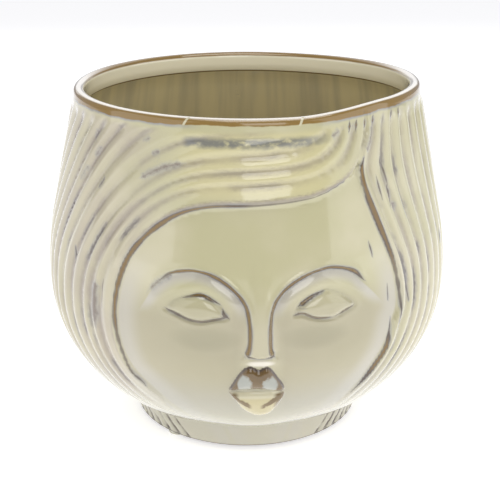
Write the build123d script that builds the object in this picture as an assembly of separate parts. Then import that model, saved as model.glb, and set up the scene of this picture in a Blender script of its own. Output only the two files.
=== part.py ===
from build123d import *
import math
import os

# Head planter: one hollow slip-cast pot shaped as a head, standing on stick-on foot pads.
# Millimetres and degrees. Heights are above the table, the face looks along -Y, and azimuths
# are measured from the middle of the face, positive towards +X.

# Sizes of the pot's body
pot_height = 165.6
rim_radius = 82.0
belly_radius = 98.0
belly_height = 75.0
crown_rise = 16.6
neck_radius = 57.0
neck_height = 11.0
wall_thickness = 5.0
floor_thickness = 6.0
lip_thickness = 5.4
lip_depth = 6.5
lip_undercut = 2.0
lip_ledge = 0.5
lip_roll = 0.4
jaw_overhang = 1.0
lining_flats = 60

# Sizes of the foot
foot_ring_width = 15.0
foot_recess_depth = 1.5

# Sizes of the foot pads
pad_height = 2.0
pad_radius = 5.0
pad_inset = 1.0
pad_azimuths = {"front_left_foot_pad": -45.0, "right_foot_pad": 75.0, "rear_foot_pad": 195.0}

# Sizes of the hair
hair_relief = 1.6
hair_run_out = 1.0
rim_band = 5.0
strand_pitch = 6.2
strand_depth = 1.5
strand_flare = 0.7
strand_run_out = 0.3
strand_step = 9.0
near_strands = 5
side_strands = 4
flute_pitch = 10.0
flute_top_run_out = 6.0
flute_jaw_run_out = 35.0

# Places of the hairline: the fringe below the rim, the sides beside the eyes
fringe_drop = 34.6
part_azimuth = 29.5
part_drop = 19.0
part_bow = 1.0
bow_share = 1 / 3
cheek_half_angle = 40.0
temple_radius = 45.0
temple_height = 88.0
jaw_end_half_angle = 31.0
jaw_end_height = 40.0
chin_half_angle = 22.0
chin_height = 24.0

# Sizes and places of the face, set from the widest level of the head
nose_top_rise = 26.0
nose_tip_drop = 4.0
nose_bridge_radius = 3.2
nose_tip_radius = 5.2
nose_depth = 4.0
nose_under = 4.0
brow_radius = 1.1
brow_end = (29.5, 18.0)
brow_crown = (18.0, 29.7)
brow_inner = (6.8, 24.0)
brow_foot = (2.9, 10.0)
eye_azimuth = 16.8
eye_rise = 11.0
eye_half_width = 14.0
eye_upper_rise = 8.0
eye_lower_drop = 3.6
eye_ball_radius = 36.0
eye_bulge = 2.6
mouth_drop = 26.0
upper_lip_azimuth = 3.6
upper_lip_rise = 5.6
upper_lip_half_length = 8.5
upper_lip_radius = 5.6
upper_lip_tilt = 24.0
lower_lip_fall = 5.6
lower_lip_half_length = 11.5
lower_lip_radius = 6.2
lip_sink = 2.0

# Steps to each round stretch of an outline: the outside's lower and upper arcs, the same inside,
# the lip, a lobe, and how closely a place along a strand is found
outside_steps = (5, 2)
inside_steps = (5, 2)
lip_steps = 4
lobe_steps = 4
finest_share = 0.001

# Levels and radii that follow from the sizes
foot_level = pad_height
rim_level = foot_level + pot_height
belly_level = foot_level + belly_height
neck_level = foot_level + neck_height
floor_level = foot_level + floor_thickness
lip_round = lip_thickness / 2
lip_level = rim_level - lip_round
lip_foot_level = lip_level - lip_depth
hair_top_level = rim_level - rim_band
jaw_end_level = foot_level + jaw_end_height
chin_level = foot_level + chin_height
mouth_radius = rim_radius - lip_thickness
jaw_radius = neck_radius + jaw_overhang
reach = 2 * belly_radius
standing = (Align.CENTER, Align.CENTER, Align.MIN)
near_reach = strand_pitch * near_strands
strand_offsets = [strand_pitch * n for n in range(1, near_strands + 1)]
strand_offsets += [near_reach + flute_pitch * n for n in range(1, side_strands + 1)]
side_reach = near_reach + flute_pitch * (side_strands + 1)
side_azimuth = cheek_half_angle + math.degrees(side_reach / belly_radius)


def arc_points(centre, radii, first, last, steps):
    """Points along an arc or a part of an ellipse, from the first angle to the last in degrees."""
    turns = [math.radians(first + (last - first) * step / steps) for step in range(steps + 1)]
    return [(centre[0] + radii[0] * math.cos(turn), centre[1] + radii[1] * math.sin(turn)) for turn in turns]


class Side:
    """The side of the head: an arc from neck to belly, an arc above it and a straight taper to the top.

    The crown's rise is the height over the belly at which the taper would meet the belly's upright.
    """

    def __init__(self, neck, belly, top, top_level, steps):
        rise = belly_level - neck_level
        swell = belly - neck
        jowl = (swell**2 + rise**2) / (2 * swell)
        jowl_turn = math.degrees(2 * math.atan2(swell, rise))
        taper = math.atan2(belly - top, top_level - belly_level - crown_rise)
        crown = crown_rise / math.tan(taper / 2)
        lower = arc_points((belly - jowl, belly_level), (jowl, jowl), -jowl_turn, 0, steps[0])
        upper = arc_points((belly - crown, belly_level), (crown, crown), 0, math.degrees(taper), steps[1])
        self.outline = [*lower, *upper[1:], (top, top_level)]

    def radius_at(self, level):
        """Radius of the side at a height."""
        for (low_radius, low), (high_radius, high) in zip(self.outline, self.outline[1:]):
            if level <= high:
                break
        return low_radius + (high_radius - low_radius) * (level - low) / (high - low)

    def point(self, azimuth, level, lift=0.0):
        """The point of the side at an azimuth and a height, lifted off the surface."""
        return round_point(self.radius_at(level) + lift, azimuth, level)


hair_side = Side(jaw_radius, belly_radius, rim_radius - lip_roll, hair_top_level, outside_steps)
face_side = Side(
    jaw_radius + hair_run_out,
    belly_radius - hair_relief,
    rim_radius - lip_roll - hair_relief,
    hair_top_level,
    outside_steps,
)
wall_side = Side(
    neck_radius - wall_thickness,
    belly_radius - wall_thickness,
    mouth_radius + lip_undercut,
    lip_foot_level - lip_undercut,
    inside_steps,
)


def turned(outline, half_arc=180):
    """A solid of revolution from a closed outline of radius and height, centred on the face."""
    profile = Plane.XZ * make_face(Polyline(*outline, close=True))
    return Rot(0, 0, -90 - half_arc) * revolve(profile, Axis.Z, revolution_arc=2 * half_arc)


def front_point(azimuth, level):
    """Where a point of the face falls on the front view."""
    point = face_side.point(azimuth, level)
    return point.X, point.Z


def unrolled_azimuth(distance):
    """Azimuth of a distance measured round the widest level."""
    return math.degrees(distance / belly_radius)


def fanned(hairline_azimuth, offset):
    """Azimuth of a strand between the hairline and the upright flutes, by its offset at the widest level."""
    return hairline_azimuth + (side_azimuth - hairline_azimuth) * offset / side_reach


def rod(points, radius):
    """A four-sided rod along a smooth path, one of its edges turned to the pot's axis."""
    path = Spline(*points)
    start = path @ 0
    plane = Plane(origin=start, x_dir=(-start.X, -start.Y, 0), z_dir=path % 0)
    return sweep(plane * RegularPolygon(radius, 4), path=path)


def faceted(rings):
    """A solid with flat facets through rings of points that follow one another upwards."""
    faces = [Face(Wire.make_polygon(ring)) for ring in (rings[0], rings[-1])]
    for low, high in zip(rings, rings[1:]):
        for a, b, c, d in zip(low, [*low[1:], low[0]], [*high[1:], high[0]], high):
            faces += [Face(Wire.make_polygon(corners)) for corners in ((a, b, c), (a, c, d))]
    return Solid(Shell(faces))


def round_point(radius, azimuth, level):
    """A point at a radius, an azimuth and a height."""
    turn = math.radians(azimuth)
    return Vector(radius * math.sin(turn), -radius * math.cos(turn), level)


def share_above(line, level):
    """The share of a strand's line that lies above a height."""
    low, high = 0, 1
    while high - low > finest_share:
        middle = (low + high) / 2
        low, high = (middle, high) if (line @ middle).Y > level else (low, middle)
    return low


def flute_depth(level):
    """Depth of the grooves at a height: full over the cheeks, running out at the neck and the rim."""
    from_neck = (level - neck_level) / flute_jaw_run_out
    from_rim = (hair_top_level - level) / flute_top_run_out
    return strand_depth * min(1, from_neck, from_rim)


def groove(places):
    """A V-shaped cutter along a smooth line through places on the hair, which runs out at both ends."""
    line = Spline(*[(math.radians(azimuth) * belly_radius, level) for azimuth, level in places])
    corners = [level for radius, level in hair_side.outline[-2::-1] if level > places[-1][1]]
    upper = share_above(line, corners[0])
    steps = math.ceil(upper * line.length / strand_step)
    shares = [upper * step / steps for step in range(steps)]
    shares += [*(share_above(line, level) for level in corners), 1]
    sections = []
    for share in shares:
        place, ahead = line @ share, line @ share + line % share
        point = hair_side.point(unrolled_azimuth(place.X), place.Y)
        out = Vector(point.X, point.Y, 0).normalized()
        across = out.cross(hair_side.point(unrolled_azimuth(ahead.X), ahead.Y) - point).normalized()
        depth = flute_depth(place.Y) if 0 < share < 1 else -strand_run_out
        base = point + out * strand_flare
        half = across * (depth + strand_flare)
        sections.append(Wire.make_polygon([point - out * depth, base + half, base - half]))
    return Solid.make_loft(sections, ruled=True)


def swept_line(offset):
    """Places along a strand that sweeps from the parting over the forehead and down the left side."""
    centre = (temple_radius - math.radians(cheek_half_angle) * belly_radius, foot_level + temple_height)
    bend = temple_radius + offset
    crest = rim_level - fringe_drop + offset - centre[1]
    top = hair_top_level - strand_depth - centre[1]
    if crest < top:
        parting = (part_azimuth, rim_level - part_drop + offset / 2)
        places = [parting, (part_azimuth * bow_share, centre[1] + crest + part_bow)]
        bow = arc_points(centre, (bend, crest), 90, 180, 2)
    else:
        places = []
        bow = arc_points(centre, (bend, crest), 180 - math.degrees(math.asin(top / crest)), 180, 2)
    places += [(unrolled_azimuth(across), level) for across, level in bow]
    return [*places, (-fanned(jaw_end_half_angle, offset), jaw_end_level)]


def falling_line(offset):
    """Places along a strand that falls from the rim down the right side."""
    return [
        (fanned(part_azimuth, offset), hair_top_level),
        (fanned((part_azimuth + cheek_half_angle) / 2, offset), (hair_top_level + belly_level) / 2),
        (fanned(cheek_half_angle, offset), belly_level),
        (fanned(jaw_end_half_angle, offset), jaw_end_level),
    ]


def strands():
    """Cutters for the strands of hair beside the face and over the forehead, down to the chin."""
    cutters = []
    for offset in strand_offsets:
        end = fanned(chin_half_angle, offset)
        cutters.append(groove([*swept_line(offset), (-end, chin_level)]))
        cutters.append(groove([*falling_line(offset), (end, chin_level)]))
    return cutters


def face_field():
    """The cutter that sets the face back from the hair, bounded by the hairline."""
    fringe = [front_point(*place) for place in swept_line(0)]
    fall = [front_point(*place) for place in falling_line(0)]
    chin = Spline(fringe[-1], (0, neck_level), fall[-1])
    outline = [Spline(*fringe), chin, Spline(*fall[:0:-1], fringe[0])]
    front = extrude(Plane.XZ * make_face(outline), reach)
    return front - turned([*face_side.outline, (0, hair_top_level), (0, neck_level)])


def nose():
    """The nose as a ridge that widens down to the tip, with a blunt underside."""
    top = face_side.point(0, belly_level + nose_top_rise, -nose_bridge_radius)
    tip = face_side.point(0, belly_level - nose_tip_drop, nose_depth - nose_tip_radius)
    along = tip - top
    ridge = Solid.make_cone(nose_bridge_radius, nose_tip_radius, along.length, Plane(origin=top, z_dir=along))
    under = Solid.make_cone(nose_tip_radius, nose_bridge_radius, nose_under, Plane(origin=tip, z_dir=along))
    return [ridge, under]


def brow(hand):
    """One brow, run down into the side of the nose. Hand is 1 on the right and -1 on the left."""
    places = [brow_end, brow_crown, brow_inner, brow_foot]
    return rod([face_side.point(hand * azimuth, belly_level + rise) for azimuth, rise in places], brow_radius)


def eye(hand):
    """One blank almond eye, domed by a large ball."""
    level = belly_level + eye_rise
    centre = face_side.point(hand * eye_azimuth, level)
    inner = (centre.X - eye_half_width, level)
    outer = (centre.X + eye_half_width, level)
    upper = ThreePointArc(inner, (centre.X, level + eye_upper_rise), outer)
    lower = ThreePointArc(outer, (centre.X, level - eye_lower_drop), inner)
    ball = face_side.point(hand * eye_azimuth, level, eye_bulge - eye_ball_radius)
    return extrude(Plane.XZ * make_face([upper, lower]), reach) & (Pos(ball) * Sphere(eye_ball_radius))


def lobe(half_length, radius):
    """A rounded roll along X, tapering to both ends."""
    outline = arc_points((0, 0), (half_length, radius), 0, 180, lobe_steps)
    return revolve(make_face(Polyline(*outline, close=True)), Axis.X)


def lips():
    """Two lobes of the upper lip over one of the lower."""
    level = belly_level - mouth_drop
    lower = Pos(face_side.point(0, level - lower_lip_fall, -lip_sink))
    pieces = [lower * lobe(lower_lip_half_length, lower_lip_radius)]
    for hand in (1, -1):
        place = Pos(face_side.point(hand * upper_lip_azimuth, level + upper_lip_rise, -lip_sink))
        tilt = Rot(0, hand * upper_lip_tilt, 0)
        pieces.append(place * tilt * lobe(upper_lip_half_length, upper_lip_radius))
    return pieces


def front_of_head():
    """The front of the head, round and still without its hair and face."""
    return turned([*hair_side.outline, (0, hair_top_level), (0, neck_level)], side_azimuth)


def back_of_head():
    """The back of the head, fluted from top to bottom."""
    full_level = hair_top_level - flute_top_run_out
    rows = [*hair_side.outline[:-1], (hair_side.radius_at(full_level), full_level), hair_side.outline[-1]]
    arc = 360 - 2 * side_azimuth
    count = max(1, round(arc / unrolled_azimuth(flute_pitch)))
    half_width = unrolled_azimuth(strand_depth)
    rings = []
    for radius, level in rows:
        ring = [Vector(0, 0, level), round_point(radius, side_azimuth, level)]
        for n in range(count):
            middle = side_azimuth + arc * (n + 0.5) / count
            ring.append(round_point(radius, middle - half_width, level))
            ring.append(round_point(radius - flute_depth(level), middle, level))
            ring.append(round_point(radius, middle + half_width, level))
        rings.append([*ring, round_point(radius, -side_azimuth, level)])
    return faceted(rings)


def lip():
    """The rolled lip as a disc, before the hollow is cut."""
    outline = arc_points((rim_radius - lip_round, lip_level), (lip_round, lip_round), 0, 180, lip_steps)
    return turned([(0, hair_top_level), (rim_radius, hair_top_level), *outline, (0, lip_level)])


def neck():
    """The plain neck that the head stands on."""
    return Pos(0, 0, foot_level) * Cylinder(neck_radius, neck_height, align=standing)


def cavity():
    """The hollow of the pot: a round mouth inside the lip, over a lining with faint upright flats."""
    mouth = Pos(0, 0, lip_foot_level) * Cylinder(mouth_radius, reach, align=standing)
    foot, ledge = (neck_radius - wall_thickness, floor_level), (mouth_radius + lip_ledge, lip_foot_level)
    azimuths = [90 + 360 * flat / lining_flats for flat in range(lining_flats)]
    rings = []
    for radius, level in [foot, *wall_side.outline, ledge]:
        rings.append([round_point(radius, azimuth, level) for azimuth in azimuths])
    return mouth + faceted(rings)


def pot():
    """The whole casting."""
    body = front_of_head() - face_field() - strands() + back_of_head()
    body += [*nose(), brow(1), brow(-1), eye(1), eye(-1), *lips(), neck(), lip()]
    recess = Pos(0, 0, foot_level) * Cylinder(neck_radius - foot_ring_width, 2 * foot_recess_depth)
    return body - cavity() - recess


def foot_pad(azimuth):
    """One pad stuck under the foot ring."""
    pad = Cylinder(pad_radius, pad_height, align=standing)
    return Rot(0, 0, azimuth) * Pos(0, -(neck_radius - pad_inset - pad_radius), 0) * pad


os.makedirs("parts", exist_ok=True)
export_step(pot(), "parts/pot.step")
for name, azimuth in pad_azimuths.items():
    export_step(foot_pad(azimuth), f"parts/{name}.step")
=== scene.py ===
"""Head planter in reactive glaze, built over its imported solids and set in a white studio."""

import logging
import math
from dataclasses import dataclass, field
from enum import Enum
from typing import Any, ClassVar

import bpy
import numpy as np
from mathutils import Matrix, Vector


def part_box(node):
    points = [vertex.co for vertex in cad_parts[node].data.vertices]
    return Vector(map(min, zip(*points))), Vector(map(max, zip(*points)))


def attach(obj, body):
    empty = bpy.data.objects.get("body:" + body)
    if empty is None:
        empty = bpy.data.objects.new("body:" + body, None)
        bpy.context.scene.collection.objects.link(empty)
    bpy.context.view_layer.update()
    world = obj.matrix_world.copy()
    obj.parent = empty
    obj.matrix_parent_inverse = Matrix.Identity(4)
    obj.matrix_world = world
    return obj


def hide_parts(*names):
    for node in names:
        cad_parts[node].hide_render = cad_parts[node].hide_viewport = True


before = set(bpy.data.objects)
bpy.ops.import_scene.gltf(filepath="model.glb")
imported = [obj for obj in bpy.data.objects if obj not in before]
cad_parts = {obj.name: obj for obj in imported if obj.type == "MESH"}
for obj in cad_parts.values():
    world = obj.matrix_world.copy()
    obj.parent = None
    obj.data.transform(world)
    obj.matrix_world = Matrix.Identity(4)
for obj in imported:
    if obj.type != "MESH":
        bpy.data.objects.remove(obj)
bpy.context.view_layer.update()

log = logging.getLogger("head_planter")

MM = 0.001

Field = np.ndarray
Places = tuple[tuple[float, float], ...]
Colour = tuple[float, float, float, float]


class Hand(Enum):
    """The viewer's left or right of the face."""

    LEFT = -1
    RIGHT = 1


def srgb(red: int, green: int, blue: int) -> Colour:
    """A linear colour from eight-bit screen values.

    Args:
        red, green, blue: Screen values from 0 to 255.

    Returns:
        The colour as linear red, green, blue and an alpha of 1.
    """
    screen = (red / 255, green / 255, blue / 255)
    return (*[v / 12.92 if v <= 0.04045 else ((v + 0.055) / 1.055) ** 2.4 for v in screen], 1.0)


def ease(low: float, high: float, value: Field) -> Field:
    """A smooth step from 0 at low to 1 at high, which may be below low.

    Args:
        low: Value at which the step begins.
        high: Value at which the step is complete.
        value: Where to take the step.

    Returns:
        The step at each value.
    """
    share = np.clip((value - low) / (high - low), 0.0, 1.0)
    return share * share * (3.0 - 2.0 * share)


def hump(value: Field, centre: float, reach: float) -> Field:
    """A bell of height 1 about a centre, with the given reach to each side."""
    return np.exp(-(((value - centre) / reach) ** 2))


def crest(number: Field) -> Field:
    """How near numbered strands are to their middle: 0 in the grooves between them, 1 on their crests."""
    part = number % 1.0
    return 2.0 * np.minimum(part, 1.0 - part)


def arc(middle: float, level: float, radius: float, turns: Field) -> list[tuple[float, float]]:
    """Rows of radius and height along an arc of the pot's outline.

    Args:
        middle: Distance of the arc's middle from the pot's axis in mm.
        level: Height of the arc's middle in mm.
        radius: Radius of the arc in mm.
        turns: Angles in radians, from 0 away from the axis.

    Returns:
        One row for each angle.
    """
    return [(middle + radius * math.cos(turn), level + radius * math.sin(turn)) for turn in turns]


def deselect_all() -> None:
    """Leaves no object selected, in object mode."""
    if bpy.context.object and bpy.context.object.mode != "OBJECT":
        bpy.ops.object.mode_set(mode="OBJECT")
    bpy.ops.object.select_all(action="DESELECT")


def points_of(piece: bpy.types.Object) -> Field:
    """The places of a piece's vertices.

    Args:
        piece: The piece.

    Returns:
        Rows of x, y and z in metres.
    """
    places = np.empty(len(piece.data.vertices) * 3)
    piece.data.vertices.foreach_get("co", places)
    return places.reshape(-1, 3)


def move_points(piece: bpy.types.Object, places: Field) -> None:
    """Puts the piece's vertices at new places in metres."""
    piece.data.vertices.foreach_set("co", places.ravel())
    piece.data.update()


@dataclass(frozen=True)
class Stroke:
    """A line drawn on the head through given places: azimuths in degrees and heights in mm."""

    places: Places
    half_width: float = 1.1
    tapers: tuple[float, float] = (0.12, 0.12)
    steps: int = 8
    tail: float = 200.0
    tail_step: float = 6.0
    true_gap: tuple[float, float] = (3.0, 10.0)
    softening: float = 0.01

    def path(self) -> Field:
        """The smooth line on the unrolled head.

        Returns:
            Rows of mm across and up.
        """
        knots = np.array([HeadForm.unrolled(*place) for place in self.places])
        padded = np.vstack([2 * knots[0] - knots[1], knots, 2 * knots[-1] - knots[-2]])
        share = np.linspace(0.0, 1.0, self.steps, endpoint=False)[:, None]
        runs = []
        for before, start, end, after in zip(padded, padded[1:], padded[2:], padded[3:]):
            bend = 2 * before - 5 * start + 4 * end - after
            twist = 3 * start - before - 3 * end + after
            runs.append(start + 0.5 * ((end - before) * share + bend * share**2 + twist * share**3))
        return np.vstack([*runs, knots[-1]])

    def measure(self, across: Field, up: Field) -> tuple[Field, Field]:
        """How far points lie beside the line, which runs on straight past its ends.

        Args:
            across: Places round the unrolled head in mm.
            up: Heights in mm.

        Returns:
            The distance, positive on the left of the line's direction, and the share of the length passed.
        """
        path = self.path()
        steps = np.diff(path, axis=0)
        lengths = np.hypot(steps[:, 0], steps[:, 1])
        passed = np.concatenate([[0.0], np.cumsum(lengths)])
        nearest = np.full(across.shape, np.inf)
        side = np.zeros(across.shape)
        share = np.zeros(across.shape)
        for index, (start, step, length) in enumerate(zip(path, steps, lengths)):
            right, above = across - start[0], up - start[1]
            along = (right * step[0] + above * step[1]) / length**2
            low = -np.inf if index == 0 else 0.0
            high = np.inf if index == len(steps) - 1 else 1.0
            along = np.clip(along, low, high)
            gap = np.hypot(right - along * step[0], above - along * step[1])
            closer = gap < nearest
            nearest = np.where(closer, gap, nearest)
            side = np.where(closer, np.copysign(gap, step[0] * above - step[1] * right), side)
            share = np.where(closer, (passed[index] + along * length) / passed[-1], share)
        return side, share

    def length(self) -> float:
        """The line's length in mm."""
        return np.hypot(*np.diff(self.path(), axis=0).T).sum()

    def fullness(self, share: Field) -> Field:
        """How much of its width the line has at shares of its length, nothing past its ends."""
        start, end = self.tapers
        return np.clip(np.minimum(share / start, (1.0 - share) / end), 0.0, 1.0)

    def drawn(self, across: Field, up: Field, loss: float | None = None) -> tuple[Field, Field]:
        """The line as the glaze draws it, with round ends.

        Args:
            across: Places round the unrolled head in mm.
            up: Heights in mm.
            loss: How many mm half of the width falls by towards the ends, or None to end in a point.

        Returns:
            The signed distance from the line, and half of the line's width there.
        """
        side, share = self.measure(across, up)
        past = self.length() * np.clip(np.maximum(-share, share - 1.0), 0.0, None)
        fall = self.half_width if loss is None else loss
        half = self.half_width - fall * (1.0 - self.fullness(share))
        return np.copysign(np.hypot(side, past), side), half

    def soft_distance(self, across: Field, up: Field, gap: Field) -> Field:
        """The distance from the line, with the bends of its level lines rounded off away from it.

        Args:
            across: Places round the unrolled head in mm.
            up: Heights in mm.
            gap: The true distance.

        Returns:
            The distance of a straight line with the same pull, eased into the true one near the line.
        """
        path = self.path()
        first, last = path[0] - path[1], path[-1] - path[-2]
        tails = np.arange(self.tail_step, self.tail, self.tail_step)[:, None]
        start = path[0] + first / np.hypot(*first) * tails[::-1]
        end = path[-1] + last / np.hypot(*last) * tails
        route = np.vstack([start, path, end])
        lengths = np.hypot(*np.diff(route, axis=0).T)
        pull = np.zeros(across.shape)
        for (x, y), length in zip((route[1:] + route[:-1]) / 2, lengths):
            pull += length / ((across - x) ** 2 + (up - y) ** 2 + self.softening) ** 2
        soft = (pull * 2 / math.pi) ** (-1 / 3)
        return gap + (soft - gap) * ease(*self.true_gap, gap)


def enclosed(path: Field, across: Field, up: Field) -> Field:
    """Which points lie inside a closed path.

    Args:
        path: Rows of mm across and up.
        across: Places round the unrolled head in mm.
        up: Heights in mm.

    Returns:
        True where a point is inside.
    """
    inside = np.zeros(across.shape, bool)
    for (x0, y0), (x1, y1) in zip(path, np.roll(path, -1, axis=0)):
        if y0 == y1:
            continue
        inside ^= ((y0 > up) != (y1 > up)) & (across < (x1 - x0) * (up - y0) / (y1 - y0) + x0)
    return inside


@dataclass(frozen=True)
class Swelling:
    """A soft rise of the face about a place on the unrolled head, in mm."""

    across: float
    up: float
    wide: float
    high: float
    rise: float

    def lift(self, across: Field, up: Field) -> Field:
        """The rise at points of the unrolled head."""
        return self.rise * hump(across, self.across, self.wide) * hump(up, self.up, self.high)


@dataclass
class HeadForm:
    """The turned form of the pot, in mm above the table and from its axis."""

    unroll_radius: ClassVar[float] = 98.0
    slope_step: ClassVar[float] = 0.5
    rim_level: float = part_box("pot")[1].z / MM
    foot_level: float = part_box("pot")[0].z / MM
    belly_radius: float = unroll_radius
    belly_level: float = 77.0
    crown_radius: float = 150.0
    rim_radius: float = 82.0
    neck_radius: float = 57.0
    neck_level: float = 13.0
    wall: float = 5.0
    floor_level: float = 8.0
    lip_round: float = 2.7
    mouth_depth: float = 6.5
    undercut: float = 2.0
    foot_ring: float = 15.0
    foot_recess: float = 1.5
    foot_round: float = 1.0

    @classmethod
    def unrolled(cls, azimuth: Any, level: Any) -> tuple[Any, Any]:
        """Places on the head laid out flat: mm round the widest level, and height."""
        return np.radians(azimuth) * cls.unroll_radius, level

    @property
    def lip_level(self) -> float:
        """Height of the middle of the rounded lip."""
        return self.rim_level - self.lip_round

    @property
    def mouth_radius(self) -> float:
        """Radius of the opening inside the lip."""
        return self.rim_radius - 2 * self.lip_round

    def side(self, level: Field, inset: float = 0.0) -> Field:
        """Radius of the side of the head at heights, or of a wall inset from it.

        Args:
            level: Heights in mm.
            inset: How far the wall lies inside the head's own side.

        Returns:
            The radius at each height.
        """
        belly, neck = self.belly_radius - inset, self.neck_radius - inset
        rise, swell = self.belly_level - self.neck_level, belly - neck
        jowl = (swell**2 + rise**2) / (2 * swell)
        crown = self.crown_radius - inset
        inward = self.rim_radius - inset - belly + crown
        upward = self.lip_level - self.belly_level
        taper = math.atan2(upward, inward) - math.acos(crown / math.hypot(inward, upward))
        over = level - self.belly_level
        low = belly - jowl + np.sqrt(np.clip(jowl**2 - over**2, 0.0, None))
        bend = belly - crown + np.sqrt(np.clip(crown**2 - over**2, 0.0, None))
        turn = crown * math.sin(taper)
        straight = belly - crown + crown * math.cos(taper) - (over - turn) * math.tan(taper)
        return np.where(over < 0.0, low, np.where(over < turn, bend, straight))

    def slope(self, level: Field) -> tuple[Field, Field]:
        """The side's outward direction at heights.

        Args:
            level: Heights in mm.

        Returns:
            The direction's parts away from the axis and up.
        """
        step = self.slope_step
        lean = (self.side(level + step) - self.side(level - step)) / (2 * step)
        length = np.hypot(1.0, lean)
        return 1.0 / length, -lean / length


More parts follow.
